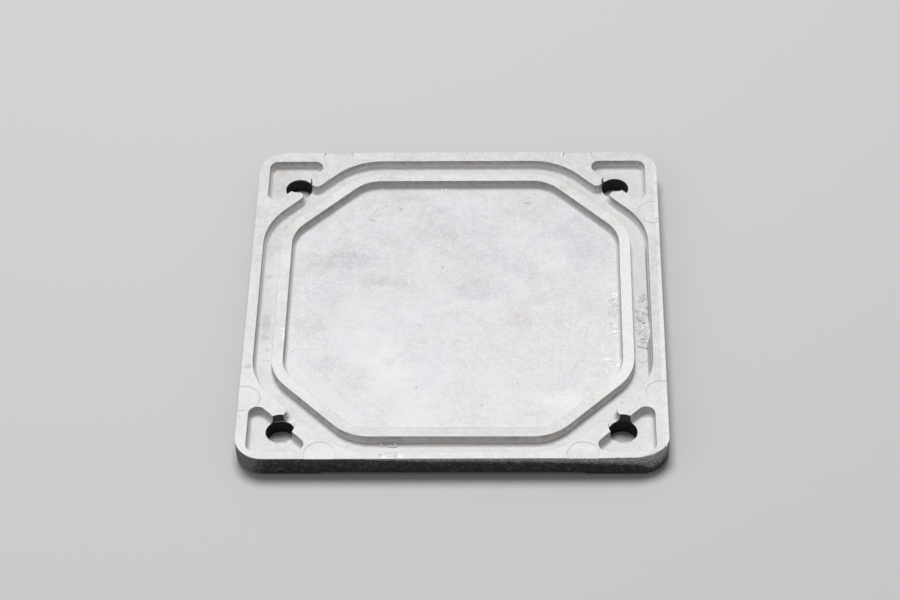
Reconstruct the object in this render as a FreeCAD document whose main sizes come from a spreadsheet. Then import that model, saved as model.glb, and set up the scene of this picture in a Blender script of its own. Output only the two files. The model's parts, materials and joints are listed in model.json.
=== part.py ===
import FreeCAD
import Part
import math
import os
import Sketcher

# Front cover panel: one square aluminium casting, lying with its ribbed inside up.
# Origin: middle of the outline, on the plane that the four corner pads of the front face stand on.
# +Z points out of the ribbed inside. Millimetres and degrees.
SIZES = (
    ("side", 86.0, "each side of the square outline"),
    ("corner_radius", 5.6, "outline at its four corners"),
    ("slab_thickness", 4.9, "rim of the inside to the plain front face"),
    ("edge_radius", 1.2, "rounding round the front edge"),
    ("pad_height", 0.4, "corner pads, proud of the front face"),
    ("pad_width", 16.6, "corner pads, inward from the outline"),
    ("core_shift_x", -0.16, "centre of the cored inside, from the outline's"),
    ("core_shift_y", -0.45, "the same along Y: the rim is thinnest there"),
    ("core_depth", 2.0, "recess, groove, pockets and channels below the rim"),
    ("draft", 3.0, "slope of the cored walls"),
    ("rim_width", 2.35, "rim between the outline and the groove"),
    ("groove_width", 3.8, "octagonal groove inside the rim"),
    ("rib_width", 2.3, "octagonal rib between groove and recess"),
    ("recess_round", 8.0, "recess wall between straight and diagonal"),
    ("bolt_inset", 8.9, "bolt axes inward from the outline"),
    ("bolt_hole", 5.75, "diameter of the bolt holes"),
    ("bolt_wall", 3.925, "bolt axis to the diagonal wall of the groove"),
    ("web_width", 3.2, "diagonal web between groove and corner pocket"),
    ("pocket_rim", 2.4, "rim between the outline and a corner pocket"),
    ("pocket_round", 1.8, "upright corners of the pockets"),
    ("channel_width", 3.35, "passage through the web into each pocket"),
    ("channel_round", 1.1, "upright edges of the passage at the groove"),
    ("foot_radius", 0.85, "wall to floor, all round the core"),
    ("pin_diameter", 6.3, "ejector pin marks on the rim"),
    ("pin_inset", 1.2, "pin centres inward from their own side"),
    ("pin_from_end", 17.0, "pin centres from the end of that side"),
    ("pin_depth", 0.35, "the two marks that lie deep, on the +Y side"),
    ("pin_witness", 0.06, "the other six marks"),
)
NEAR = 1e-3
QUARTERS = 4
UPRIGHT = FreeCAD.Vector(0, 0, 1)

doc = FreeCAD.newDocument("FrontCoverPanel")
sheet = doc.addObject("Spreadsheet::Sheet", "Sizes")
for row, (alias, number, note) in enumerate(SIZES, start=1):
    sheet.set(f"A{row}", alias)
    sheet.set(f"B{row}", str(number))
    sheet.set(f"C{row}", note)
    sheet.setAlias(f"B{row}", alias)
doc.recompute()


class Length:
    # A size both as the sheet spells it and as a number, so that a sum of sizes is written once.
    def __init__(self, text, value):
        self.text = text
        self.value = value

    def __add__(self, other):
        return Length(f"({self.text} + {other.text})", self.value + other.value)

    def __sub__(self, other):
        return Length(f"({self.text} - {other.text})", self.value - other.value)

    def times(self, factor):
        return Length(f"({self.text} * {factor})", self.value * factor)

    def half(self):
        return self.times(0.5)

    def reversed(self):
        return self.times(-1)


def size(alias):
    return Length(f"Sizes.{alias}", float(sheet.get(alias)))


half_side = size("side").half()
rim_level = size("pad_height") + size("slab_thickness")
floor_level = rim_level - size("core_depth")
bolt_offset = half_side - size("bolt_inset")
bolt_out = Length(f"({bolt_offset.text} * sqrt(2))", bolt_offset.value * math.sqrt(2))

# The octagons are offsets of one another: distances from the core's centre to their straight sides
# and to their diagonal ones, and the radius between the two.
groove_flat = half_side - size("rim_width")
rib_flat = groove_flat - size("groove_width")
recess_flat = rib_flat - size("rib_width")
groove_corner = bolt_out - size("bolt_wall")
rib_corner = groove_corner - size("groove_width")
recess_corner = rib_corner - size("rib_width")
rib_round = size("recess_round") + size("rib_width")
groove_round = rib_round + size("groove_width")
pocket_flat = half_side - size("pocket_rim")
pocket_inner = groove_corner + size("web_width")
half_channel = size("channel_width").half()

body = doc.addObject("PartDesign::Body", "cover_panel")
body.Label = "cover_panel"
for plane in body.Origin.OriginFeatures:
    if plane.Role == "XY_Plane":
        ground = plane


def new_sketch(name, level, cored=False, turn=0.0):
    # A sketch parallel to the front face; a cored one is centred on the core, and may be turned.
    sketch = body.newObject("Sketcher::SketchObject", name)
    sketch.AttachmentSupport = [(ground, "")]
    sketch.MapMode = "FlatFace"
    sketch.AttachmentOffset = FreeCAD.Placement(FreeCAD.Vector(0, 0, 0), FreeCAD.Rotation(UPRIGHT, turn))
    if level is not None:
        sketch.setExpression(".AttachmentOffset.Base.z", level.text)
    if cored:
        sketch.setExpression(".AttachmentOffset.Base.x", "Sizes.core_shift_x")
        sketch.setExpression(".AttachmentOffset.Base.y", "Sizes.core_shift_y")
    return sketch


def dimension(sketch, kind, *where, length):
    index = sketch.addConstraint(Sketcher.Constraint(kind, *where, length.value))
    sketch.renameConstraint(index, f"size{index}")
    sketch.setExpression(f"Constraints.size{index}", length.text)


def rounded_loop(sketch, sides):
    # A convex outline from its sides, anticlockwise: the angle of each side's outward normal, its
    # distance from the sketch's centre, and the radius of the corner that follows it, or None.
    count = len(sides)
    normals = [FreeCAD.Vector(math.cos(math.radians(a)), math.sin(math.radians(a)), 0) for a, _, _ in sides]
    ends = []
    for i in range(count):
        first, second = normals[i], normals[(i + 1) % count]
        reach, next_reach = sides[i][1].value, sides[(i + 1) % count][1].value
        cross = first.x * second.y - first.y * second.x
        corner = FreeCAD.Vector(
            (reach * second.y - next_reach * first.y) / cross,
            (next_reach * first.x - reach * second.x) / cross, 0)
        radius = sides[i][2].value if sides[i][2] else 0.0
        centre = corner - (first + second) * (radius / (1 + first.dot(second)))
        ends.append((centre, centre + first * radius, centre + second * radius, radius))
    lines = []
    for i in range(count):
        lines.append(sketch.addGeometry(Part.LineSegment(ends[i - 1][2], ends[i][1])))
    arcs = {}
    for i in range(count):
        following = lines[(i + 1) % count]
        if sides[i][2] is None:
            sketch.addConstraint(Sketcher.Constraint("Coincident", lines[i], 2, following, 1))
            continue
        centre, start, _, radius = ends[i]
        turn = math.degrees(normals[i].getAngle(normals[(i + 1) % count]))
        begin = math.atan2(start.y - centre.y, start.x - centre.x)
        ring = Part.Circle(centre, UPRIGHT, radius)
        arc = sketch.addGeometry(Part.ArcOfCircle(ring, begin, begin + math.radians(turn)))
        sketch.addConstraint(Sketcher.Constraint("Tangent", lines[i], 2, arc, 1))
        sketch.addConstraint(Sketcher.Constraint("Tangent", arc, 2, following, 1))
        if sides[i][2].text in arcs:
            sketch.addConstraint(Sketcher.Constraint("Equal", arcs[sides[i][2].text], arc))
        else:
            dimension(sketch, "Radius", arc, length=sides[i][2])
            arcs[sides[i][2].text] = arc
    for line, (angle, reach, _) in zip(lines, sides):
        if angle % 180 == 0:
            sketch.addConstraint(Sketcher.Constraint("Vertical", line))
        elif angle % 90 == 0:
            sketch.addConstraint(Sketcher.Constraint("Horizontal", line))
        else:
            heading = math.remainder(math.radians(angle + 90), 2 * math.pi)
            sketch.addConstraint(Sketcher.Constraint("Angle", line, heading))
        dimension(sketch, "Distance", -1, 1, line, length=reach if reach.value > 0 else reach.reversed())


def octagon(sketch, flat, corner, radius):
    rounded_loop(sketch, [(45 * k, corner if k % 2 else flat, radius) for k in range(8)])


def circle(sketch, x, y, diameter):
    ring = sketch.addGeometry(Part.Circle(FreeCAD.Vector(x.value, y.value, 0), UPRIGHT, diameter.value / 2))
    dimension(sketch, "Diameter", ring, length=diameter)
    dimension(sketch, "DistanceX", -1, 1, ring, 3, length=x)
    dimension(sketch, "DistanceY", -1, 1, ring, 3, length=y)


def add(kind, name, length, profile, slope=None, downwards=False):
    # One step that adds or removes metal, right through where it has no length. A step that
    # changes the volume the wrong way stops the script.
    before = body.Shape.Volume if body.Tip else 0.0
    feature = body.newObject(f"PartDesign::{kind}", name)
    feature.Profile = profile
    feature.Reversed = downwards
    if length is None:
        feature.Type = "ThroughAll"
    else:
        feature.setExpression("Length", length.text)
    if slope:
        feature.setExpression("TaperAngle", slope)
    doc.recompute()
    change = body.Shape.Volume - before
    if change * (1 if kind == "Pad" else -1) <= 0:
        raise RuntimeError(f"{name} changed the volume by {change:.3f}")
    return feature


def around(name, feature, sketch):
    # The same step on all four quarters, about the sketch's own upright axis.
    before = body.Shape.Volume
    pattern = body.newObject("PartDesign::PolarPattern", name)
    pattern.Originals = [feature]
    pattern.Axis = (sketch, ["N_Axis"])
    pattern.Angle = 360
    pattern.Occurrences = QUARTERS
    body.Tip = pattern
    doc.recompute()
    if abs(body.Shape.Volume - before) < NEAR:
        raise RuntimeError(f"{name} repeats nothing")
    return pattern


def round_edges(name, radius, chosen):
    # A fillet on the edges of the body so far that the test picks.
    base = body.Tip
    picked = chosen(base.Shape)
    edges = [f"Edge{n}" for n, edge in enumerate(base.Shape.Edges, start=1) if any(edge.isSame(p) for p in picked)]
    fillet = body.newObject("PartDesign::Fillet", name)
    fillet.Base = (base, edges)
    fillet.setExpression("Radius", radius.text)
    doc.recompute()


def lies_at(shape, level):
    return all(abs(z - level.value) < NEAR for z in (shape.BoundBox.ZMin, shape.BoundBox.ZMax))


def edges_at(level):
    return lambda shape: [edge for edge in shape.Edges if lies_at(edge, level)]


def pad_edges(shape):
    # Only those on the outline, which is one corner radius beyond the square of its corner centres.
    radius = size("corner_radius").value
    corner_centre = half_side.value - radius
    found = []
    for edge in (edge for edge in shape.Edges if edge.BoundBox.ZMax < NEAR):
        point = edge.valueAt((edge.FirstParameter + edge.LastParameter) / 2)
        beyond = [max(abs(p) - corner_centre, 0.0) for p in (point.x, point.y)]
        if abs(math.hypot(*beyond) - radius) < NEAR:
            found.append(edge)
    return found


def channel_mouths(shape):
    # The upright edges between the channels and the outer wall of the groove.
    slack = size("core_depth").value * math.tan(math.radians(size("draft").value)) + NEAR
    found = []
    for edge in shape.Edges:
        point = edge.CenterOfMass
        x = abs(point.x - size("core_shift_x").value)
        y = abs(point.y - size("core_shift_y").value)
        out, along = (x + y) / math.sqrt(2), abs(x - y) / math.sqrt(2)
        upright = edge.BoundBox.ZLength > size("core_depth").value - NEAR
        at_side = abs(along - half_channel.value) < slack
        if upright and at_side and abs(out - groove_corner.value) < slack:
            found.append(edge)
    return found


def rib_foot(shape):
    # The groove has the one floor face with a hole in it, and the hole is the rib's foot.
    floors = [face for face in shape.Faces if lies_at(face, floor_level)]
    inner = [wire for face in floors for wire in face.Wires if not wire.isSame(face.OuterWire)]
    return [edge for wire in inner for edge in wire.Edges]


def wall_feet(shape):
    rib = rib_foot(shape)
    return [edge for edge in edges_at(floor_level)(shape) if not any(edge.isSame(r) for r in rib)]


slab_sketch = new_sketch("SlabOutline", size("pad_height"))
rounded_loop(slab_sketch, [(90 * k, half_side, size("corner_radius")) for k in range(4)])
add("Pad", "Slab", size("slab_thickness"), slab_sketch)
round_edges("FrontEdge", size("edge_radius"), edges_at(size("pad_height")))

pad_sketch = new_sketch("CornerPadOutline", None)
pad_reach = half_side - size("pad_width")
pad_round = size("pad_width") - size("bolt_inset")
rounded_loop(pad_sketch, [
    (0, half_side, size("corner_radius")), (90, half_side, None),
    (180, pad_reach.reversed(), pad_round), (270, pad_reach.reversed(), None)])
pad = add("Pad", "CornerPad", size("pad_height") + size("edge_radius"), pad_sketch)
around("CornerPads", pad, pad_sketch)
round_edges("PadEdges", size("edge_radius"), pad_edges)

narrowing = "-Sizes.draft"
widening = "Sizes.draft"
groove_sketch = new_sketch("GrooveOutline", rim_level, cored=True)
octagon(groove_sketch, groove_flat, groove_corner, groove_round)
add("Pocket", "Groove", size("core_depth"), groove_sketch, narrowing)

rib_sketch = new_sketch("RibOutline", rim_level, cored=True)
octagon(rib_sketch, rib_flat, rib_corner, rib_round)
add("Pad", "Rib", size("core_depth"), rib_sketch, widening, downwards=True)

recess_sketch = new_sketch("RecessOutline", rim_level, cored=True)
octagon(recess_sketch, recess_flat, recess_corner, size("recess_round"))
add("Pocket", "Recess", size("core_depth"), recess_sketch, narrowing)

pocket_sketch = new_sketch("PocketOutline", rim_level, cored=True)
rounded_loop(pocket_sketch, [
    (0, pocket_flat, size("pocket_round")), (90, pocket_flat, size("pocket_round")),
    (225, pocket_inner.reversed(), size("pocket_round"))])
pocket = add("Pocket", "CornerPocket", size("core_depth"), pocket_sketch, narrowing)
around("CornerPockets", pocket, pocket_sketch)

# The channels run along the diagonals, from the middle of the groove to the bolt holes.
channel_sketch = new_sketch("ChannelOutline", rim_level, cored=True, turn=45)
channel_start = rib_corner + size("groove_width").half()
rounded_loop(channel_sketch, [
    (0, bolt_out, None), (90, half_channel, None),
    (180, channel_start.reversed(), None), (270, half_channel, None)])
channel = add("Pocket", "Channel", size("core_depth"), channel_sketch, narrowing)
around("Channels", channel, channel_sketch)
round_edges("ChannelMouths", size("channel_round"), channel_mouths)

round_edges("WallFeet", size("foot_radius"), wall_feet)

bolt_sketch = new_sketch("BoltHoleCentre", rim_level, cored=True)
circle(bolt_sketch, bolt_offset, bolt_offset, size("bolt_hole"))
bolt_hole = add("Pocket", "BoltHole", None, bolt_sketch)
around("BoltHoles", bolt_hole, bolt_sketch)

# Ejector pins pressed on the rim where the webs meet it; the outline cuts their marks.
pin_line = half_side - size("pin_inset")
pin_offset = half_side - size("pin_from_end")
witness_sketch = new_sketch("PinWitnesses", rim_level)
deep_sketch = new_sketch("DeepPinMarks", rim_level)
for side in (1, -1):
    circle(deep_sketch, pin_offset.times(side), pin_line, size("pin_diameter"))
    circle(witness_sketch, pin_offset.times(side), pin_line.times(-1), size("pin_diameter"))
    for end in (1, -1):
        circle(witness_sketch, pin_line.times(side), pin_offset.times(end), size("pin_diameter"))
add("Pocket", "PinWitness", size("pin_witness"), witness_sketch)
add("Pocket", "DeepPinMark", size("pin_depth"), deep_sketch)

for item in doc.Objects:
    if {"Invalid", "Error"} & set(item.State):
        raise RuntimeError(f"{item.Name} failed: {item.State}")
panel = body.Shape
if panel.isNull() or not panel.isValid() or len(panel.Solids) != 1:
    raise RuntimeError("the panel isn't one valid solid")
os.makedirs("parts", exist_ok=True)
panel.exportStep(f"parts/{body.Label}.step")
print(f"{body.Label}: {panel.Volume:.1f} mm3, {len(panel.Faces)} faces, box {panel.BoundBox}")
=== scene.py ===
import json
import math

import bmesh
import bpy
from mathutils import Matrix, Vector, noise


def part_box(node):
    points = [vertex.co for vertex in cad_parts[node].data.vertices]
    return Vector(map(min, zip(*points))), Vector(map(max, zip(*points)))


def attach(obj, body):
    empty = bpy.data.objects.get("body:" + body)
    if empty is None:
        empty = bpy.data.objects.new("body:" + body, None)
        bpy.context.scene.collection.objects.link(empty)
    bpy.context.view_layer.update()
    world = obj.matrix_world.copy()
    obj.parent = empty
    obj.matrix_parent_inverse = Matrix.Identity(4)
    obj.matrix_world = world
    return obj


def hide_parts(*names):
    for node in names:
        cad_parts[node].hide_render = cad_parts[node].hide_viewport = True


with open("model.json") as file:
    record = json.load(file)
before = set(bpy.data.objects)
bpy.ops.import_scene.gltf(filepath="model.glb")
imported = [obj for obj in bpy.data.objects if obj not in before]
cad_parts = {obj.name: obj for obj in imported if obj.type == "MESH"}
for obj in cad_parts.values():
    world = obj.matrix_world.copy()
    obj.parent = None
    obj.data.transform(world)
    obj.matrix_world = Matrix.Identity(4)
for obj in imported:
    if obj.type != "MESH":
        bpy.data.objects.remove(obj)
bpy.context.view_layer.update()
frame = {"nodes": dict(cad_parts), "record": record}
panelNode = frame["nodes"]["cover_panel"]
mm = 0.001
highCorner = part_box("cover_panel")[1]
rimLevel = highCorner.z / mm
halfSide = highCorner.x / mm
boltMount = [m for m in frame["record"]["mounts"] if m["name"] == "bolts"][0]
coreShift = Vector((boltMount["pos_m"][0] / mm, boltMount["pos_m"][1] / mm))
boltReach = boltMount["dims"]["spacing_x_mm"] / 2
boltRadius = boltMount["dims"]["hole_r_mm"]

# the casting's own sizes that its finish follows, in millimetres
casting = dict(coreDepth=2.0, edgeBreak=0.15, cornerRadius=5.6, rimWidth=2.35, grooveWidth=3.8,
               ribWidth=2.3, boltWall=3.925)
floorLevel = rimLevel - casting["coreDepth"]
grooveFlat = halfSide - casting["rimWidth"]
ribFlat = grooveFlat - casting["grooveWidth"]
recessFlat = ribFlat - casting["ribWidth"]
grooveCorner = boltReach * math.sqrt(2) - casting["boltWall"]
ribCorner = grooveCorner - casting["grooveWidth"]
recessCorner = ribCorner - casting["ribWidth"]


class Signal:
    # One number, colour or vector in a material; sums and products of it become Math nodes.
    def __init__(self, graph, socket):
        self.graph, self.socket = graph, socket

    def calc(self, operation, *others):
        return self.graph.node("ShaderNodeMath", {"operation": operation}, self, *others)

    def __add__(self, other):
        return self.calc("ADD", other)

    def __sub__(self, other):
        return self.calc("SUBTRACT", other)

    def __rsub__(self, other):
        return self.graph.node("ShaderNodeMath", {"operation": "SUBTRACT"}, other, self)

    def __mul__(self, other):
        return self.calc("MULTIPLY", other)

    def __truediv__(self, other):
        return self.calc("DIVIDE", other)

    def __abs__(self):
        return self.calc("ABSOLUTE")

    __radd__, __rmul__ = __add__, __mul__

    def most(self, other):
        return self.calc("MAXIMUM", other)

    def root(self):
        return self.calc("SQRT")

    def rise(self, low, high):
        # 0 below low and 1 above high, with a soft passage between; high may be the lower one
        flip = low > high
        ends = (high, low) if flip else (low, high)
        settings = {"interpolation_type": "SMOOTHSTEP"}
        value = self.graph.node("ShaderNodeMapRange", settings, self, *ends, 0.0, 1.0)
        return 1.0 - value if flip else value

    def band(self, middle, halfWidth, soft):
        return abs(self - middle).rise(halfWidth + soft, halfWidth)


class Graph:
    # A node tree under construction: every node comes from node().
    def node(self, kind, settings=None, *inputs, out=0, **named):
        made = self.tree.nodes.new(kind)
        for key, value in (settings or {}).items():
            if key == "stops":
                ramp = made.color_ramp
                while len(ramp.elements) > len(value):
                    ramp.elements.remove(ramp.elements[-1])
                while len(ramp.elements) < len(value):
                    ramp.elements.new(1.0)
                for element, (place, colour) in zip(ramp.elements, value):
                    element.position, element.color = place, (*colour, 1.0)
            else:
                setattr(made, key, value)
        for key, value in [*enumerate(inputs), *named.items()]:
            if value is not None:
                self.plug(made.inputs[key], value)
        return Signal(self, made.outputs[out]) if len(made.outputs) else None

    def plug(self, socket, value):
        if isinstance(value, Signal):
            self.tree.links.new(value.socket, socket)
        else:
            socket.default_value = value

    def axes(self, point):
        parts = self.node("ShaderNodeSeparateXYZ", None, point)
        return [parts] + [Signal(self, parts.socket.node.outputs[i]) for i in (1, 2)]

    def vector(self, operation, first, second):
        return self.node("ShaderNodeVectorMath", {"operation": operation}, first, second)

    def noise(self, point, perMm, detail=4.0, rough=0.5, warp=0.0, out=0):
        return self.node("ShaderNodeTexNoise", None, Vector=point, Scale=perMm, Detail=detail,
                         Roughness=rough, Distortion=warp, out=out)


class Finish(Graph):
    # A material under construction.
    def __init__(self, name):
        self.material = bpy.data.materials.new(name)
        self.material.use_nodes = True
        self.tree = self.material.node_tree
        self.tree.nodes.clear()

    def place(self):
        # object coordinates, in millimetres
        coords = self.node("ShaderNodeTexCoord", out="Object")
        return self.node("ShaderNodeVectorMath", {"operation": "SCALE"}, coords, Scale=1 / mm)

    def stretched(self, point, factors):
        return self.vector("MULTIPLY", point, factors)

    def cells(self, point, perMm, feature="F1"):
        return self.node("ShaderNodeTexVoronoi", {"feature": feature}, Vector=point, Scale=perMm)

    def blend(self, factor, first, second):
        made = self.node("ShaderNodeMix", {"data_type": "RGBA"}).socket.node
        self.plug(made.inputs[0], factor)
        # a colour Mix node has its two colours in at 6 and 7, and its colour out at 2
        for k, colour in ((6, first), (7, second)):
            self.plug(made.inputs[k], colour if isinstance(colour, Signal) else (*colour, 1.0))
        return Signal(self, made.outputs[2])

    def finish(self, colour, rough, metal, height=None, reach=0.0002, strength=0.6, base=None):
        normal = base
        if height is not None:
            normal = self.node("ShaderNodeBump", None, Strength=strength, Distance=reach,
                               Height=height, Normal=base)
        shader = self.node("ShaderNodeBsdfPrincipled", None, **{
            "Base Color": colour, "Roughness": rough, "Metallic": metal, "Normal": normal})
        self.node("ShaderNodeOutputMaterial", None, shader)
        return self.material

    def spots(self, x, y, places):
        # soft round patches, each one (x, y, half width, half depth) in millimetres
        mask = None
        for middleX, middleY, reachX, reachY in places:
            overX, overY = (x - middleX) / reachX, (y - middleY) / reachY
            spot = (overX * overX + overY * overY).root().rise(1.25, 0.45)
            mask = spot if mask is None else mask.most(spot)
        return mask


# round ejector pin marks: how far they lie from the middle lines, the middles of the two that the finish
# draws, and where the solid's own prints of them are found: how wide, and how far below the rim
pinMarks = dict(radius=3.15, reach=26.0, farY=41.8, onSides=((-41.8, -27.4), (41.8, 24.6)),
                printHalf=3.5, printSlack=0.2, printDepth=(0.03, 0.09))
# the near top edge is rubbed off, hardly at all on the left and widely at the right corner: how far
# the rim is cut back, how far down the wall that reaches and how far down its speckle, at places along X
nearWear = dict(
    places=(-43.0, -20.0, -6.0, 4.0, 16.0, 30.0, 37.0, 39.0, 41.3, 43.1),
    cutBack=(0.02, 0.03, 0.05, 0.10, 0.14, 0.16, 0.30, 0.95, 0.80, 0.15),
    drop=(0.10, 0.12, 0.20, 0.50, 0.70, 0.90, 1.20, 1.90, 2.20, 1.00),
    speckDrop=(0.30, 0.35, 1.00, 1.10, 1.30, 1.70, 2.30, 3.40, 3.60, 3.00),
    rows=(0.08, 0.18, 0.32, 0.50, 0.75, 1.05, 1.40, 1.90, 2.50), column=0.40,
    ragged=0.35, ragSize=0.9, rimRoom=1.9, endY=-37.4, fadeOver=2.5)
# the raised line that the core insert left along the foot of the near rib
insertLine = dict(alongY=-37.72, fromX=-10.6, toX=21.0, thick=0.07, waveX=4.6, waveY=0.16, waveWidth=1.6,
                  steps=60)

# some tones here are painted light or shade: the pale foot tone and pure white are painted light, the dark
# foot tone and the near-black side and bore tones are painted shade
metalTones = dict(
    rim=(0.790, 0.783, 0.780), rib=(0.815, 0.802, 0.778), floor=(0.800, 0.798, 0.812),
    groove=(0.725, 0.718, 0.716), wall=(0.62, 0.605, 0.59), wallStain=(0.43, 0.40, 0.375),
    paintedFootLight=(0.97, 0.95, 0.93), rubbedRib=(0.98, 0.965, 0.945), rimEdge=(0.97, 0.955, 0.93),
    bright=(0.97, 0.97, 0.96), paintedGlint=(1.0, 1.0, 1.0), warm=(0.70, 0.655, 0.60), cool=(0.655, 0.675, 0.725),
    cloud=(0.56, 0.565, 0.585), rust=(0.60, 0.52, 0.46), dirt=(0.30, 0.29, 0.28), footShadeTone=(0.25, 0.255, 0.265),
    side=(0.020, 0.021, 0.021), sideSpeck=(0.32, 0.32, 0.315), worn=(0.60, 0.60, 0.59),
    boreMouthShade=(0.075, 0.076, 0.080), boreShade=(0.014, 0.014, 0.015))

# patches that the casting's inner side shows, in millimetres: (x, y, half width, half depth)
patches = dict(
    pits=((-12.0, 27.5, 0.55, 0.5), (15.1, 29.2, 0.8, 0.4), (-18.1, 24.2, 0.5, 0.4),
          (-2.8, 10.4, 0.45, 0.35), (13.0, -21.8, 0.3, 0.3), (6.0, -27.6, 0.35, 0.3),
          (-7.4, -22.8, 0.3, 0.45), (-33.1, -13.2, 0.35, 0.35), (-7.35, -5.8, 0.5, 0.22),
          (-6.95, -6.2, 0.4, 0.22), (-41.5, -18.9, 0.8, 0.45), (33.9, -26.9, 0.5, 0.35)),
    dark=((-20.8, -21.0, 2.8, 2.6), (-25.6, -17.5, 4.5, 4.0), (5.5, 4.0, 7.0, 3.4),
          (-24.0, 12.5, 6.5, 3.0)),
    rust=((16.3, 6.6, 1.9, 3.6), (12.8, -4.7, 3.4, 2.2), (-14.5, 18.3, 2.6, 2.6), (-15.7, 6.1, 3.8, 1.6),
          (-29.7, -6.2, 3.6, 3.8), (-1.3, 19.7, 2.2, 1.8), (-9.3, 30.8, 5.0, 1.4), (-0.5, -3.0, 2.6, 1.6)),
    cool=((23.4, 19.9, 4.0, 1.8), (27.1, 14.2, 2.8, 2.2), (-27.0, 3.0, 4.5, 3.5), (24.0, -20.0, 3.0, 3.0)),
    pale=((21.7, -26.4, 6.5, 3.2), (20.0, 12.0, 5.0, 2.2), (-13.0, -17.0, 5.0, 6.0)),
    # painted highlights: white spots on dents, crescents and rim facets
    paintedGlint=((33.2, 2.5, 0.95, 0.45), (33.3, -7.8, 0.85, 0.35), (31.0, -15.4, 1.0, 0.40),
           (32.9, -16.8, 1.15, 0.35), (30.9, -18.3, 0.45, 0.50), (34.0, -16.0, 0.25, 0.8),
           (30.5, -12.5, 0.20, 1.8), (-9.9, -42.3, 0.9, 0.5), (-13.3, -42.6, 0.9, 0.3),
           (-35.2, -8.6, 0.55, 0.3), (-34.9, -10.6, 0.22, 1.6), (10.8, -37.3, 1.2, 0.18)),
    creases=((37.5, -2.0, 0.35, 0.7), (37.7, -4.4, 0.40, 0.8), (38.1, -6.4, 0.35, 0.9),
             (38.0, -8.3, 0.40, 0.7), (38.6, 0.6, 0.30, 0.6), (39.4, 2.6, 0.25, 0.8),
             (38.7, -10.6, 0.50, 0.3), (38.5, -16.2, 0.55, 0.35)),
    pocketStain=((-38.6, -30.6, 2.0, 0.8), (-40.0, -35.6, 0.6, 2.2), (-35.0, -39.4, 2.2, 0.7),
                 (38.6, -30.4, 1.6, 0.6), (39.4, -35.2, 0.7, 2.2), (-38.2, 38.6, 1.2, 0.6)),
    # places of the flash, round which painted shadow darkens the skin
    flash=((-12.6, -37.9, 2.1, 0.9), (-10.9, -42.0, 0.5, 0.8), (-14.0, -42.1, 0.45, 0.7),
           (-12.4, -41.6, 1.3, 0.3)),
    grooveDark=((-38.9, -9.4, 0.9, 0.9), (-38.2, -12.6, 0.8, 0.55), (-38.3, -15.4, 1.0, 0.3),
                (-39.0, -5.2, 1.0, 2.6), (-39.3, 7.9, 1.2, 0.5), (37.6, -2.2, 0.6, 0.5),
                (38.0, -4.8, 0.5, 0.6), (37.8, -7.6, 0.6, 0.7), (38.9, -10.2, 0.9, 0.8),
                (39.2, 1.6, 0.6, 1.2), (38.3, -12.4, 1.2, 0.4)))

# marks per millimetre in the patterns of the casting's skin
skinScale = dict(
    grain=3.2, fine=9.0, broad=0.075, clumps=0.30, hue=0.11, shift=0.55, sway=0.6, mottle=1.35, worms=0.75,
    marble=0.36, pits=1.5, pitGroups=0.35, cracks=0.62, crackSway=0.9, stains=0.62, speckle=3.1, sparse=1.5)
# how much of its own tone each mark gives to the inner side; some of these marks are painted light, shade or
# highlights
skinAmount = dict(
    warm=0.30, cool=0.30, dark=0.50, rust=0.34, coolPatch=0.26, palePatch=0.30, clumps=0.22, mottlePale=0.22,
    worms=0.17, grainDark=0.12, grainPale=0.25, pits=0.30, spots=0.42, groove=0.40, cracks=0.34,
    creases=0.50, flowLine=0.55, scabPale=0.50, paintedGlint=0.85, paintedFarShade=0.16, nearRib=0.30,
    rightRib=0.42, pocket=0.55, paintedNearLight=0.26, rimEdge=0.45, dirtyRim=0.30, flash=0.45, witness=0.42)
# the U-shaped flow line low in the right groove: its middle, half width and depth
flowMark = dict(x=38.53, y=-15.0, halfWidth=0.95, depth=1.25)


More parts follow.
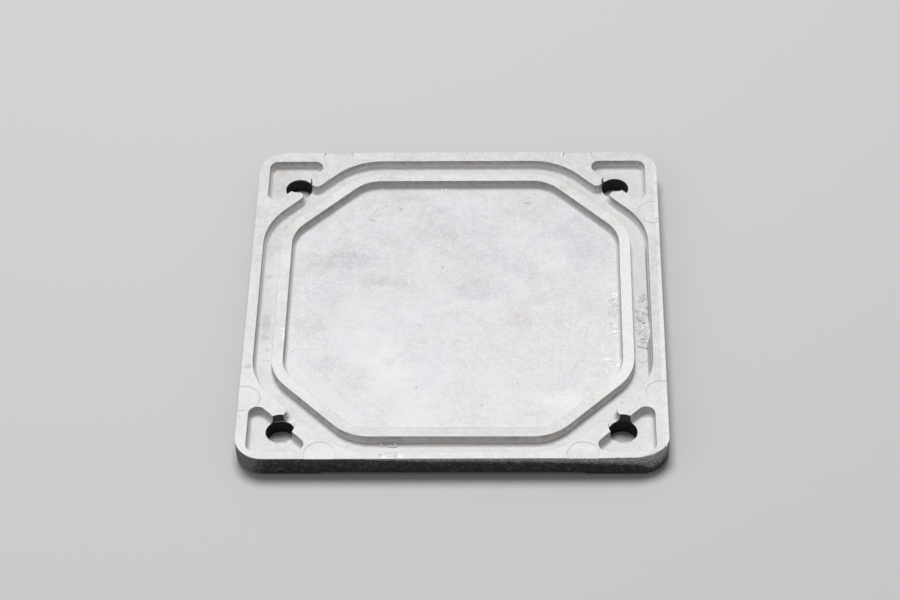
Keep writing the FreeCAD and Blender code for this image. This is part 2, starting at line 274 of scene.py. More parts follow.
class CastFinish(Finish):
    # The casting's finish: where its parts are, the patterns of its skin, then one colour over another,
    # painted light and shade among them.
    def __init__(self):
        super().__init__("castAluminium")
        self.point = self.place()
        self.x, self.y, self.z = self.axes(self.point)
        facing = self.node("ShaderNodeNewGeometry", out="Normal")
        self.facingY, self.upward = self.axes(facing)[1:]
        self.depth = rimLevel - self.z
        self.findRegions()
        self.makePatterns()

    def fromMiddle(self, x, y, middleX, middleY):
        overX, overY = x - middleX, y - middleY
        return (overX * overX + overY * overY).root()

    def findRegions(self):
        x, y, z, upward = self.x, self.y, self.z, self.upward
        coreX, coreY = abs(x - coreShift.x), abs(y - coreShift.y)
        octagon = (coreX - recessFlat).most(coreY - recessFlat)
        octagon = octagon.most((coreX + coreY) / math.sqrt(2) - recessCorner)
        self.up = upward.rise(0.35, 0.95)
        self.onTop = z.rise(rimLevel - 0.6, rimLevel - 0.4) * self.up
        self.onFloor = z.rise(floorLevel + 0.9, floorLevel + 0.1) * self.up
        self.inRecess = octagon.rise(0.4, -0.2)
        self.onRecessFloor = self.inRecess * self.onFloor
        ribHalf = casting["ribWidth"] / 2
        self.onRib = octagon.band(ribHalf, ribHalf + 0.4, 0.1) * self.onTop
        self.fromGrooveWall = grooveFlat - coreX
        cornerCentre = halfSide - casting["cornerRadius"]
        beyondX, beyondY = (abs(x) - cornerCentre).most(0.0), (abs(y) - cornerCentre).most(0.0)
        outward = (beyondX * beyondX + beyondY * beyondY).root() - casting["cornerRadius"]
        # the low walls of the two sunk pin marks are bare like the rim
        pinEdge = self.fromMiddle(abs(x), y, pinMarks["reach"], pinMarks["farY"])
        inFarPin = pinEdge.rise(pinMarks["radius"] + 0.5, pinMarks["radius"] + 0.3)
        inFarPin = inFarPin * self.depth.rise(0.55, 0.45) * outward.rise(-0.05, -0.15)
        self.onSide = outward.rise(-1.62, -1.50) * upward.rise(0.90, 0.55) * (1.0 - inFarPin)
        self.onWall = upward.rise(0.80, 0.25) * (1.0 - inFarPin)
        fromBolt = self.fromMiddle(coreX, coreY, boltReach, boltReach) - boltRadius
        self.inBore = fromBolt.rise(0.10, 0.04)
        self.farSide = y.rise(-10.0, 36.0)

    def makePatterns(self):
        point, scale = self.point, skinScale
        self.grain = self.noise(point, scale["grain"], 3.0, 0.6)
        self.fine = self.noise(point, scale["fine"], 2.0, 0.65)
        self.clumps = self.noise(point, scale["clumps"], 5.0, 0.66, 0.9)
        self.hue = self.noise(point, scale["hue"], 4.0, 0.6, 0.7)
        self.shift = self.noise(point, scale["shift"], 4.0, 0.65)
        self.mottle = self.noise(point, scale["mottle"], 5.0, 0.68, 0.8)
        self.speckle = self.noise(point, scale["speckle"], 4.0, 0.78)
        broad = self.noise(point, scale["broad"], 5.0, 0.62, 0.5)
        veins = abs(self.noise(point, scale["worms"], 4.0, 0.6, 1.3) - 0.5)
        self.worms = veins.rise(0.060, 0.004) * broad.rise(0.38, 0.54)
        veins = abs(self.noise(point, scale["marble"], 6.0, 0.70, 1.5) - 0.5)
        self.marble = veins.rise(0.045, 0.002) * self.clumps.rise(0.36, 0.52)
        pitGroups = self.noise(point, scale["pitGroups"], 2.0).rise(0.52, 0.62)
        self.pits = self.cells(point, scale["pits"]).rise(0.16, 0.07) * pitGroups
        crackSway = self.noise(point, scale["crackSway"], 3.0, 0.6, out=1)
        swayed = self.vector("ADD", self.stretched(point, (1.0, 0.8, 1.0)), crackSway)
        cracks = self.cells(swayed, scale["cracks"], "DISTANCE_TO_EDGE")
        self.cracks = cracks.rise(0.22, 0.02)
        # places shaken a lot and a little, for patches with ragged outlines
        sway = self.noise(point, scale["sway"], 4.0, 0.65, 0.4)
        self.rough = self.x + (self.shift - 0.5) * 3.4, self.y + (sway - 0.5) * 3.4
        self.near = self.x + (self.grain - 0.5) * 0.8, self.y + (self.fine - 0.5) * 0.8

    def tint(self, mask, tone):
        self.colour = self.blend(mask, self.colour, metalTones[tone])

    def castInside(self):
        # the plain levels and the slow changes of hue
        x, y, amount, mottle = self.x, self.y, skinAmount, self.mottle
        self.colour = self.blend(self.onRecessFloor, metalTones["groove"], metalTones["floor"])
        self.tint(self.onTop, "rim")
        self.tint(self.onRib, "rib")
        self.tint(self.hue.rise(0.52, 0.68) * amount["warm"], "warm")
        self.tint(self.hue.rise(0.48, 0.34) * amount["cool"], "cool")
        # painted shade along the feet of the side walls, widest low on the right
        onRight = x.rise(30.0, 35.0)
        widening = y.rise(-9.0, -12.0) * 0.42 - y.band(-7.6, 1.6, 1.6) * 0.30
        shadeWidth = 0.35 + onRight * (0.26 + widening)
        fromWall = self.fromGrooveWall + (mottle - 0.5) * 0.4
        footShade = (fromWall / shadeWidth).rise(1.06, 0.92) * y.band(-2.0, 16.0, 3.0) * self.onFloor
        self.tint(footShade * (0.45 + onRight * 0.55), "footShadeTone")
        # patches in the recess
        shown = {}
        for kind in ("dark", "rust", "cool", "pale"):
            shown[kind] = self.spots(*self.rough, patches[kind]) * self.onRecessFloor
        self.tint(shown["dark"] * mottle.rise(0.34, 0.58) * amount["dark"], "cloud")
        self.tint(shown["rust"] * mottle.rise(0.32, 0.58) * amount["rust"], "rust")
        self.tint(shown["cool"] * amount["coolPatch"], "cool")
        self.tint(shown["pale"] * amount["palePatch"], "bright")
        # mottling, veins, grain and pits over all of it
        self.tint(self.clumps.rise(0.50, 0.72) * amount["clumps"], "cloud")
        self.tint(mottle.rise(0.52, 0.72) * (0.10 + self.farSide * 0.16), "cloud")
        self.tint(mottle.rise(0.46, 0.30) * amount["mottlePale"], "bright")
        self.tint(self.worms * self.up * amount["worms"], "dirt")
        self.tint(self.marble * self.up * (0.08 + self.farSide * 0.12), "dirt")
        self.tint(self.grain.rise(0.56, 0.80) * amount["grainDark"], "dirt")
        self.tint(self.grain.rise(0.46, 0.22) * amount["grainPale"], "bright")
        self.tint(self.pits * self.up * amount["pits"], "dirt")
        self.tint(self.spots(*self.near, patches["pits"]) * self.up * amount["spots"], "dirt")

    def castFaults(self):
        # dark spots, scabs and creases, and painted highlights, each at its own place
        x, y, amount, mottle, onFloor = self.x, self.y, skinAmount, self.mottle, self.onFloor
        swayX, swayY = x + (mottle - 0.5) * 1.6, y + (self.shift - 0.5) * 1.6
        spread = self.spots(swayX, swayY, patches["grooveDark"])
        self.tint(spread * onFloor * mottle.rise(0.28, 0.56) * amount["groove"], "dirt")
        grooveScab = x.band(38.6, 1.0, 0.3) * y.band(-5.2, 6.6, 1.0)
        self.scabs = grooveScab + x.band(32.9, 0.9, 0.3) * y.band(-3.4, 4.4, 0.8) * 0.6
        self.tint(self.cracks * self.scabs * onFloor * mottle.rise(0.34, 0.60) * amount["cracks"], "dirt")
        creases = self.spots(*self.near, patches["creases"]) * onFloor * self.grain.rise(0.40, 0.56)
        self.tint(creases * amount["creases"], "dirt")
        nearX, nearY = self.near
        overX = (nearX - flowMark["x"]) / flowMark["halfWidth"]
        overY = (nearY - flowMark["y"]) / flowMark["depth"]
        flowLine = (overX * overX + overY * overY).root().band(1.0, 0.06, 0.14)
        self.tint(flowLine * y.rise(-14.6, -15.3) * onFloor * amount["flowLine"], "dirt")
        self.tint(self.scabs * onFloor * mottle.rise(0.50, 0.36) * amount["scabPale"], "bright")
        # painted highlights
        self.tint(self.spots(*self.near, patches["paintedGlint"]) * self.up * amount["paintedGlint"], "paintedGlint")

    def castHandling(self):
        # painted light makes the near part lighter and painted shade makes the far recess floor darker; the
        # near rib is darker and the right rib paler
        x, y, amount, mottle = self.x, self.y, skinAmount, self.mottle
        # painted shade: the far recess floor is darker
        self.tint(self.onRecessFloor * self.farSide * amount["paintedFarShade"], "cloud")
        self.tint(self.onRib * y.rise(-24.0, -34.0) * x.rise(30.0, 10.0) * amount["nearRib"], "cloud")
        self.tint(self.onRib * x.rise(26.0, 34.0) * y.rise(24.0, 8.0) * amount["rightRib"], "rubbedRib")
        stain = self.spots(*self.rough, patches["pocketStain"]) * self.onFloor * mottle.rise(0.30, 0.56)
        self.tint(stain * amount["pocket"], "rust")
        # painted light: upward faces are lighter towards the near edge
        paintedNearLight = (y * -1.0 / halfSide).rise(-0.6, 1.0)
        self.tint(paintedNearLight * self.up * (1.0 - self.onRib) * amount["paintedNearLight"], "bright")
        rimEdge = x.band(42.7, 0.35, 0.3) * self.onTop * self.shift.rise(0.36, 0.54)
        self.tint(rimEdge * amount["rimEdge"], "rimEdge")
        dirtyRim = x.band(41.3, 0.5, 0.35) * y.band(-10.0, 12.0, 2.0) * self.shift.rise(0.38, 0.58)
        self.tint(dirtyRim * self.onTop * amount["dirtyRim"], "cloud")
        # a band along the near rib's foot: partly painted shade, partly a rust stain
        insertStainAndShade = y.band(insertLine["alongY"] - 0.12, 0.50, 0.10) * x.band(3.0, 19.0, 4.0) * self.onFloor
        self.tint(insertStainAndShade * (0.16 + mottle.rise(0.44, 0.62) * 0.24), "rust")
        # painted shadow round the flash
        flashShade = self.spots(*self.near, patches["flash"]) * (1.0 - self.onSide) * mottle.rise(0.35, 0.60)
        self.tint(flashShade * amount["flash"], "dirt")

    def castWalls(self):
        # the drafted walls: darker than the tops and stained in broad patches; painted light makes them
        # paler towards their feet, and the recess walls are darker near their top
        inner, depth = self.colour, self.depth
        stains = self.noise(self.point, skinScale["stains"], 4.0, 0.70, 0.6)
        self.colour = self.blend(stains.rise(0.42, 0.62) * 0.75, metalTones["wall"], metalTones["wallStain"])
        self.tint(stains.rise(0.42, 0.28) * 0.50, "rib")
        # painted light: the walls outside the recess are paler towards their feet
        self.tint(depth.rise(0.6, 1.8) * (1.0 - self.inRecess) * 0.60, "rib")
        # painted light: the far walls and the near rib wall are paler low down
        farFootLight = depth.rise(0.5, 1.9) * self.y.rise(-10.0, 10.0)
        self.tint(farFootLight * (0.75 - self.inRecess * 0.30), "paintedFootLight")
        self.tint(self.y.band(-37.3, 0.3, 0.15) * depth.rise(1.6, 1.95), "paintedFootLight")
        self.tint(self.inRecess * depth.rise(1.5, 0.7) * 0.30, "dirt")
        self.tint(self.grain.rise(0.46, 0.24) * 0.35, "rib")
        self.colour = self.blend(self.onWall, inner, self.colour)

    def pinWitness(self):
        # fine rings of the pin marks that the solid has elsewhere
        rings = None
        for middleX, middleY in pinMarks["onSides"]:
            ring = self.fromMiddle(*self.near, middleX, middleY).band(pinMarks["radius"], 0.035, 0.07)
            rings = ring if rings is None else rings.most(ring)
        self.witness = rings
        self.tint(rings * self.onTop * self.shift.rise(0.36, 0.56) * skinAmount["witness"], "dirt")

    def outerSkin(self):
        # the outer wall is near black as painted shade and a painted dark reflection, speckled, lighter at
        # the near-left corner, and rubbed bare along its near top edge
        x, y, depth = self.x, self.y, self.depth
        inner = self.colour
        alongX = [(place + halfSide) / (2 * halfSide) for place in nearWear["places"]]
        stops = [(place, (drop / 4,) * 3) for place, drop in zip(alongX, nearWear["speckDrop"])]
        speckDrop = self.node("ShaderNodeValToRGB", {"stops": stops}, (x + halfSide) / (2 * halfSide)) * 4.0
        rubbed = (depth / speckDrop).rise(1.25, 0.10) * self.facingY.rise(-0.15, -0.45)
        rubbed = rubbed * y.rise(-37.0, -39.0)
        bare = (self.speckle * 2.0 + rubbed * 0.42).rise(0.98, 1.68) * rubbed.rise(0.0, 0.35)
        leftCorner = x.rise(-36.0, -41.0) * y.rise(-36.0, -41.0)
        specks = self.noise(self.point, skinScale["sparse"], 4.0, 0.75).rise(0.46, 0.72)
        sparse = specks * (0.36 + leftCorner * 0.50) + self.fine.rise(0.56, 0.78) * 0.10
        sparse = sparse + leftCorner * 0.34 + depth.rise(2.2, 0.0) * 0.10
        # the near-black side tone is painted shade and a painted dark reflection
        skin = self.blend(sparse, metalTones["side"], metalTones["sideSpeck"])
        skin = self.blend(bare, skin, metalTones["worn"])
        self.colour = self.blend(self.onSide, inner, skin)
        # painted shade: the near holes' mouths and all bores near black, darkest deep down; the far holes'
        # mouths take the wall stain tone
        mouth = self.blend(y.rise(-10.0, 10.0), metalTones["boreMouthShade"], metalTones["wallStain"])
        boreShade = self.blend(depth.rise(2.5, 1.7), metalTones["boreShade"], mouth)
        self.colour = self.blend(self.inBore, self.colour, boreShade)

    def relief(self):
        height = self.grain * 0.45 + self.fine * 0.30 + self.mottle * 0.50 - self.pits * 0.8
        height = height - self.worms * 0.35 * self.up + self.onSide * self.speckle * 1.8
        return height - self.cracks * self.scabs * 0.9 - self.witness * self.onTop * 0.8


def castAluminium():
    skin = CastFinish()
    skin.castInside()
    skin.castFaults()
    skin.castHandling()
    skin.castWalls()
    skin.pinWitness()
    skin.outerSkin()
    rough = 0.52 + skin.grain * 0.16 - skin.onRib * 0.05 + skin.onSide * 0.18
    softEdge = skin.node("ShaderNodeBevel", {"samples": 6}, Radius=casting["edgeBreak"] * mm)
    return skin.finish(skin.colour, rough, 0.22, skin.relief(), reach=0.00006, strength=0.5, base=softEdge)


def bareMetal():
    # the fresh raised metal of burrs, flash and crumbs
    f = Finish("bareMetal")
    point = f.place()
    grain = f.noise(point, 5.0, 3.0, 0.6)
    colour = f.blend(grain.rise(0.45, 0.75) * 0.35, (0.98, 0.98, 0.97), metalTones["cloud"])
    return f.finish(colour, 0.40 + grain * 0.15, 0.25, grain, reach=0.00004)


def plainPaint(name, tone, rough):
    return Finish(name).finish((*tone, 1.0), rough, 0.0)


def along(x, table):
    # a table's value at this place along the near edge
    places = nearWear["places"]
    for k in range(len(places) - 1):
        if x <= places[k + 1]:
            share = max(0.0, (x - places[k]) / (places[k + 1] - places[k]))
            return table[k] + (table[k + 1] - table[k]) * share
    return table[-1]


def nearOutline(x):
    # how far out the near side wall stands, with its rounded corners
    radius = casting["cornerRadius"]
    over = max(0.0, abs(x) - (halfSide - radius))
    return -(halfSide - radius) - math.sqrt(max(0.0, radius ** 2 - over ** 2))


def cutFaces(build, faces, spot, normal):
    parts = set(faces)
    for face in faces:
        parts.update(face.edges, face.verts)
    bmesh.ops.bisect_plane(build, geom=list(parts), plane_co=Vector(spot) * mm, plane_no=normal, dist=1e-7)


def wearNearEdge(build):
    rows, step = nearWear["rows"], nearWear["column"]

    def wallFaces(low):
        return [f for f in build.faces if f.normal.y < -0.05 and abs(f.normal.z) < 0.3
                and max(v.co.z for v in f.verts) > (rimLevel - low) * mm
                and all(v.co.y < nearOutline(v.co.x / mm) * mm + 2e-5 for v in f.verts)
                and f.calc_center_median().y < nearWear["endY"] * mm]

    for row in rows:
        cutFaces(build, wallFaces(row), (0, 0, rimLevel - row), (0, 0, 1))
    for k in range(int(2 * halfSide / step)):
        x = -halfSide + (k + 0.5) * step
        crossing = []
        for face in wallFaces(rows[-1]):
            across = [v.co.x for v in face.verts]
            if min(across) < x * mm < max(across):
                crossing.append(face)
        if crossing:
            cutFaces(build, crossing, (x, 0, 0), (1, 0, 0))
    for vertex in build.verts:
        x, y, z = vertex.co / mm
        depth, inward = rimLevel - z, y - nearOutline(x)
        if y > nearWear["endY"] or inward > nearWear["rimRoom"] or depth > rows[-1] + 0.01:
            continue
        rag = noise.noise(Vector((x, 0.3 * z, 7.0)) * nearWear["ragSize"]) * nearWear["ragged"]
        fade = min(1.0, (nearWear["endY"] - y) / nearWear["fadeOver"])
        back = along(x, nearWear["cutBack"]) * (1 + rag) * fade
        drop = along(x, nearWear["drop"]) * (1 + 0.6 * rag)
        if depth < rows[0]:
            vertex.co.y += back * (1 - inward / nearWear["rimRoom"]) * mm
        elif inward < 0.02 and depth < drop:
            share = depth / drop
            bow = 0.5 * (1 - share) + 0.5 * (1 - math.sqrt(share * (2 - share)))
            vertex.co.y += back * bow * mm


def mergedCasting():
    # a clean copy of the node: its points joined up, the prints of three side pins made level with the
    # rim (the finish draws two of them at their true places) and its near edge worn
    source = panelNode.data
    weldWithin = 0.4e-6
    shallow, deep = pinMarks["printDepth"]
    mesh = bpy.data.meshes.new("castPanel")
    mesh.from_pydata([v.co for v in source.vertices], [], [tuple(p.vertices) for p in source.polygons])
    build = bmesh.new()
    build.from_mesh(mesh)
    bmesh.ops.remove_doubles(build, verts=build.verts, dist=weldWithin)
    bmesh.ops.dissolve_degenerate(build, edges=build.edges, dist=weldWithin)
    for vertex in build.verts:
        x, y, z = vertex.co / mm
        onSide = abs(x) > pinMarks["farY"] - pinMarks["radius"] - pinMarks["printSlack"]
        onSide = onSide and abs(abs(y) - pinMarks["reach"]) < pinMarks["printHalf"]
        nearRight = x > 0 and y < 0
        if onSide and not nearRight and shallow < rimLevel - z < deep:
            vertex.co.z = rimLevel * mm
    bmesh.ops.dissolve_degenerate(build, edges=build.edges, dist=weldWithin)
    build.normal_update()
    wearNearEdge(build)
    bmesh.ops.triangulate(build, faces=[f for f in build.faces if len(f.verts) > 4])
    build.to_mesh(mesh)
    build.free()
    panel = bpy.data.objects.new("castPanel", mesh)
    bpy.context.scene.collection.objects.link(panel)
    return panel


def smoothWithin(obj, degrees):
    for polygon in obj.data.polygons:
        polygon.use_smooth = True
    obj.data.set_sharp_from_angle(angle=math.radians(degrees))


def dressPanel(metal):
    panel = mergedCasting()
    smoothWithin(panel, 32)
    panel.data.materials.append(metal)
    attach(panel, "root")
    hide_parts("cover_panel")
    print("panel:", len(panel.data.polygons), "faces")


class Growth(Graph):
    # A Geometry Nodes tree under construction, with its inputs by name.
    def __init__(self, name, given):
        self.tree = bpy.data.node_groups.new(name, "GeometryNodeTree")
        for label, kind in {"Geometry": "Geometry", **given, "Material": "Material"}.items():
            self.tree.interface.new_socket(label, in_out="INPUT", socket_type="NodeSocket" + kind)
        self.tree.interface.new_socket("Geometry", in_out="OUTPUT", socket_type="NodeSocketGeometry")
        self.entry = self.tree.nodes.new("NodeGroupInput")
        self.exit = self.tree.nodes.new("NodeGroupOutput")

    def given(self, label):
        return Signal(self, self.entry.outputs[label])

    def place(self, seed):
        # where a point is, in millimetres, shifted by the seed so that no two pieces repeat
        spot = self.node("GeometryNodeInputPosition")
        spot = self.node("ShaderNodeVectorMath", {"operation": "SCALE"}, spot, Scale=1 / mm)
        away = self.node("ShaderNodeCombineXYZ", None, seed * 7.3, seed * 3.1, seed)
        return self.vector("ADD", spot, away)

    def shaken(self, geometry, point, perMm, amount):
        swing = self.vector("SUBTRACT", self.noise(point, perMm, 3.0, 0.6, out=1), (0.5, 0.5, 0.5))
        offset = self.node("ShaderNodeVectorMath", {"operation": "SCALE"}, swing, Scale=amount)
        return self.node("GeometryNodeSetPosition", None, geometry, Offset=offset)

    def end(self, geometry):
        real = self.node("GeometryNodeRealizeInstances", None, geometry)
        soft = self.node("GeometryNodeSetShadeSmooth", None, real)
        dressed = self.node("GeometryNodeSetMaterial", None, soft, Material=self.given("Material"))
        self.tree.links.new(dressed.socket, self.exit.inputs[0])
        return self.tree


def ridgeTree():
    # a thin raised line with a wandering course and an uneven thickness, along the path it is given
    g = Growth("castRidge", dict.fromkeys(("Thickness", "Spacing", "Wander", "Uneven", "Seed"), "Float"))
    point = g.place(g.given("Seed"))
    curve = g.node("GeometryNodeMeshToCurve", None, g.given("Geometry"))
    curve = g.node("GeometryNodeResampleCurve", {"mode": "LENGTH"}, curve, Length=g.given("Spacing"))
    curve = g.shaken(curve, point, 1.6, g.given("Wander"))
    share = g.node("GeometryNodeSplineParameter")
    taper = (share * (1.0 - share) * 4.0).root()
    swell = 1.0 + (g.noise(point, 2.3, 3.0, 0.6) - 0.5) * g.given("Uneven")
    profile = g.node("GeometryNodeCurvePrimitiveCircle", None, 8)
    scale = (taper * swell * g.given("Thickness")).most(0.004 * mm)
    return g.end(g.node("GeometryNodeCurveToMesh", None, curve, profile, scale, True))


def crumbTree():
    # loose-looking lumps of cast metal, strewn over the patch that it is given
    g = Growth("castCrumbs", {"Density": "Float", "Smallest": "Vector", "Largest": "Vector",
                              "Lumpy": "Float", "Seed": "Float"})
    seed = g.given("Seed")
    between = {"data_type": "FLOAT_VECTOR"}
    points = g.node("GeometryNodeDistributePointsOnFaces", None, g.given("Geometry"),
                    Density=g.given("Density"), Seed=seed)
    lump = g.node("GeometryNodeMeshIcoSphere", None, 1.0, 3)
    turn = g.node("FunctionNodeRandomValue", between, (-0.3, -0.3, 0.0), (0.3, 0.3, 6.28), Seed=seed)
    smallest, largest = g.given("Smallest"), g.given("Largest")
    size = g.node("FunctionNodeRandomValue", between, smallest, largest, Seed=seed + 1.0)
    lumps = g.node("GeometryNodeInstanceOnPoints", None, points, Instance=lump, Rotation=turn, Scale=size)
    real = g.node("GeometryNodeRealizeInstances", None, lumps)
    return g.end(g.shaken(real, g.place(seed), 3.4, g.given("Lumpy")))


def grow(name, points, edges, faces, tree, values, metal):
    # runs the tree once on a base mesh in millimetres and keeps what comes out as a plain mesh
    base = bpy.data.meshes.new(name + "Base")
    base.from_pydata([Vector(p) * mm for p in points], edges, faces)
    source = bpy.data.objects.new(name + "Base", base)
    bpy.context.scene.collection.objects.link(source)
    modifier = source.modifiers.new("grow", "NODES")
    modifier.node_group = tree
    for socket in tree.interface.items_tree:
        if socket.in_out == "INPUT" and socket.name in values:
            modifier[socket.identifier] = values[socket.name]
        elif socket.in_out == "INPUT" and socket.name == "Material":
            modifier[socket.identifier] = metal
    bpy.context.view_layer.update()
    evaluated = source.evaluated_get(bpy.context.evaluated_depsgraph_get())
    piece = bpy.data.objects.new(name, bpy.data.meshes.new_from_object(evaluated))
    bpy.data.objects.remove(source)
    bpy.context.scene.collection.objects.link(piece)
    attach(piece, "root")
    print(name + ":", len(piece.data.polygons), "faces")


# thin raised lines, each one a path in millimetres on the level it lies on
ridges = dict(
    nearCurl=dict(path=((31.9, 3.4), (32.4, 2.6), (33.15, 2.25), (34.0, 3.2)), thick=0.14),
    middleCurl=dict(path=((32.2, -8.3), (33.0, -8.15), (33.94, -7.65)), thick=0.16),
    longCurl=dict(path=((31.3, -10.6), (30.7, -12.2), (30.4, -14.0), (30.6, -15.4), (31.8, -15.8)),
                  thick=0.12),
    hookCurl=dict(path=((31.8, -16.9), (33.0, -16.7), (33.8, -16.0), (34.1, -15.0)), thick=0.15),
    footCurl=dict(path=((33.2, -18.6), (33.8, -17.8), (34.0, -16.8)), thick=0.09),
    lowCurl=dict(path=((30.4, -18.7), (30.8, -18.2), (31.3, -17.9)), thick=0.12),
    grooveCurl=dict(path=((37.6, -14.9), (37.9, -15.8), (38.5, -16.3), (39.1, -15.7), (39.4, -14.9)),
                    thick=0.05),
    leftSeam=dict(path=((-40.3, 7.6), (-39.2, 7.4), (-38.0, 7.5)), thick=0.05))
ridgeLook = dict(spacing=0.10, wander=0.20, uneven=1.1)
# strewn lumps: the patch from one corner to the other, how many per square millimetre, and their sizes
crumbs = dict(
    footFlash=dict(fromXY=(-14.3, -38.5), toXY=(-10.8, -37.2), level=0.16, density=15.0,
                   small=(0.08, 0.05, 0.06), large=(0.30, 0.11, 0.24), lumpy=0.20, seed=4.0),
    rimFlash=dict(fromXY=(-14.2, -39.9), toXY=(-11.4, -38.6), level=0.0, density=2.5,
                  small=(0.06, 0.05, 0.03), large=(0.24, 0.12, 0.12), lumpy=0.12, seed=6.0),
    rightScab=dict(fromXY=(37.9, -12.0), toXY=(40.0, 1.4), level=-0.08, density=1.0,
                   small=(0.40, 0.50, 0.10), large=(0.85, 1.20, 0.20), lumpy=0.22, seed=9.0, castSkin=True),
    boreSpecks=dict(fromXY=(34.2, -39.1), toXY=(38.6, -37.6), level=0.0, density=2.2,
                    small=(0.04, 0.04, 0.03), large=(0.13, 0.10, 0.07), lumpy=0.08, seed=12.0),
    recessScab=dict(fromXY=(31.8, -7.2), toXY=(33.9, 1.6), level=-0.04, density=1.4,
                    small=(0.10, 0.12, 0.04), large=(0.40, 0.45, 0.13), lumpy=0.18, seed=15.0,
                    castSkin=True),
    farScab=dict(fromXY=(-5.4, 33.0), toXY=(-1.6, 33.9), level=0.0, density=2.4, small=(0.12, 0.10, 0.08),
                 large=(0.42, 0.25, 0.20), lumpy=0.15, seed=21.0))
# burrs that the drill left on the floor-level lip of the two near holes, by angle round the hole
burrs = dict(
    left=(dict(side=-1, start=200, stop=262, thick=0.08), dict(side=-1, start=258, stop=292, thick=0.20),
          dict(side=-1, start=288, stop=335, thick=0.09), dict(side=-1, start=55, stop=120, thick=0.06)),
    right=(dict(side=1, start=215, stop=262, thick=0.10), dict(side=1, start=255, stop=300, thick=0.17),
           dict(side=1, start=296, stop=330, thick=0.08)))


def addRidge(name, tree, metal, path, thick, seed, wander=None, uneven=None):
    edges = [(i, i + 1) for i in range(len(path) - 1)]
    values = {"Thickness": thick * mm, "Spacing": ridgeLook["spacing"] * mm,
              "Wander": (ridgeLook["wander"] if wander is None else wander) * mm,
              "Uneven": ridgeLook["uneven"] if uneven is None else uneven, "Seed": float(seed)}
    grow(name, path, edges, [], tree, values, metal)


def insertCourse():
    line = insertLine
    course = []
    for i in range(line["steps"] + 1):
        x = line["fromX"] + (line["toX"] - line["fromX"]) * i / line["steps"]
        wave = line["waveY"] * math.exp(-((x - line["waveX"]) / line["waveWidth"]) ** 2)
        course.append((x, line["alongY"] + wave, floorLevel + 0.3 * line["thick"]))
    return course


def burrCourse(arc, steps=12):
    # part of the way round the lip of a near hole
    middleX, middleY = coreShift.x + arc["side"] * boltReach, coreShift.y - boltReach
    course = []
    for i in range(steps + 1):
        angle = math.radians(arc["start"] + (arc["stop"] - arc["start"]) * i / steps)
        course.append((middleX + boltRadius * math.cos(angle), middleY + boltRadius * math.sin(angle),
                       floorLevel - 0.3 * arc["thick"]))
    return course


def addRidges(metal):
    tree = ridgeTree()
    seed = 30
    for name, mark in ridges.items():
        path = [(x, y, floorLevel) for x, y in mark["path"]]
        addRidge(name, tree, metal, path, mark["thick"], seed)
        seed += 1
    addRidge("insertLine", tree, metal, insertCourse(), insertLine["thick"], seed, wander=0.05, uneven=0.7)
    for group, arcs in burrs.items():
        for k, arc in enumerate(arcs):
            seed += 1
            name = group + "Burr" + str(k + 1)
            addRidge(name, tree, metal, burrCourse(arc), arc["thick"], seed, wander=0.16, uneven=1.5)


def addCrumbs(metal, cast):
    tree = crumbTree()
    for name, patch in crumbs.items():
        dress = cast if patch.get("castSkin") else metal
        (x0, y0), (x1, y1), z = patch["fromXY"], patch["toXY"], floorLevel + patch["level"]
        corners = [(x0, y0, z), (x1, y0, z), (x1, y1, z), (x0, y1, z)]
        values = {"Density": patch["density"] / mm ** 2, "Lumpy": patch["lumpy"] * mm, "Seed": patch["seed"],
                  "Smallest": [v * mm for v in patch["small"]], "Largest": [v * mm for v in patch["large"]]}
        grow(name, corners, [], [(0, 1, 2, 3)], tree, values, dress)


# camera solved from the photograph's own plate: focal length in pixels of a picture 900 wide,
# then pitch down, turn and roll, and the plate's centre in the camera's frame, in millimetres
view = dict(focal=2642.28, width=900.0, pitch=47.522, turn=-2.500, roll=-1.969,
            centre=(0.98996, -0.54980, 547.497), sensor=36.0)


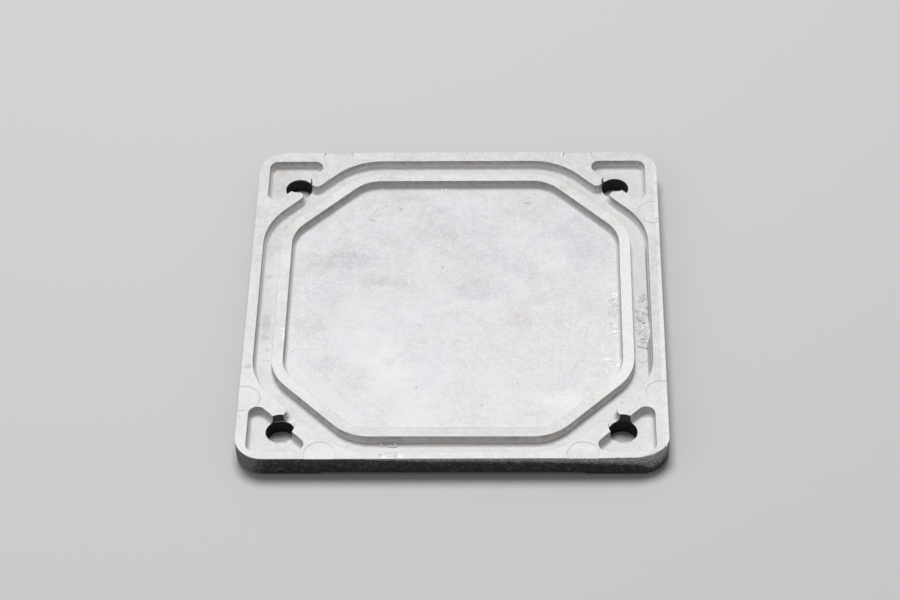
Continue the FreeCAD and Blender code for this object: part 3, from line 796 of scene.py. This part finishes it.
def photoCamera():
    pitch, turn, roll = (math.radians(view[k]) for k in ("pitch", "turn", "roll"))
    level, down = math.cos(pitch), math.sin(pitch)
    facing = Matrix(((1, 0, 0), (0, -down, -level), (0, level, -down)))
    look = Matrix.Rotation(roll, 3, "Z") @ facing @ Matrix.Rotation(turn, 3, "Z")
    spot = -(look.transposed() @ Vector(view["centre"])) + Vector((0, 0, rimLevel))
    data = bpy.data.cameras.new("photoCamera")
    data.sensor_width = view["sensor"]
    data.lens = view["focal"] / view["width"] * view["sensor"]
    data.clip_start, data.clip_end = 0.01, 20.0
    camera = bpy.data.objects.new("photoCamera", data)
    bpy.context.scene.collection.objects.link(camera)
    axes = Matrix((look[0], -look[1], -look[2])).transposed()
    camera.matrix_world = Matrix.Translation(spot * mm) @ axes.to_4x4()
    bpy.context.scene.camera = camera


studio = dict(floorSize=3.0, floorTone=(0.70, 0.70, 0.69), floorRough=0.7,
              keyPower=6.1, keySize=0.46, keySpot=(-0.06, 0.30, 0.87),
              fillPower=0.35, fillSize=0.5, fillSpot=(-0.55, -0.35, 0.45),
              worldTone=(0.93, 0.95, 1.0), worldLevel=0.20)


def softLamp(name, spot, size, power):
    data = bpy.data.lights.new(name, "AREA")
    data.shape = "DISK"
    data.size = size
    data.energy = power
    lamp = bpy.data.objects.new(name, data)
    bpy.context.scene.collection.objects.link(lamp)
    lamp.location = spot
    lamp.rotation_euler = (-Vector(spot)).to_track_quat("-Z", "Y").to_euler()


def setStudio():
    half = studio["floorSize"] / 2
    mesh = bpy.data.meshes.new("floorPlane")
    corners = [(-half, -half, 0), (half, -half, 0), (half, half, 0), (-half, half, 0)]
    mesh.from_pydata(corners, [], [(0, 1, 2, 3)])
    floor = bpy.data.objects.new("floorPlane", mesh)
    bpy.context.scene.collection.objects.link(floor)
    mesh.materials.append(plainPaint("paleFloor", studio["floorTone"], studio["floorRough"]))
    softLamp("keyLamp", studio["keySpot"], studio["keySize"], studio["keyPower"])
    softLamp("fillLamp", studio["fillSpot"], studio["fillSize"], studio["fillPower"])
    world = bpy.data.worlds.new("softWorld")
    world.use_nodes = True
    background = world.node_tree.nodes["Background"]
    background.inputs["Color"].default_value = (*studio["worldTone"], 1.0)
    background.inputs["Strength"].default_value = studio["worldLevel"]
    bpy.context.scene.world = world
    bpy.context.scene.view_settings.view_transform = "Standard"


castSkin = castAluminium()
dressPanel(castSkin)
rawMetal = bareMetal()
addRidges(rawMetal)
addCrumbs(rawMetal, castSkin)
photoCamera()
setStudio()
print("studio and camera set")
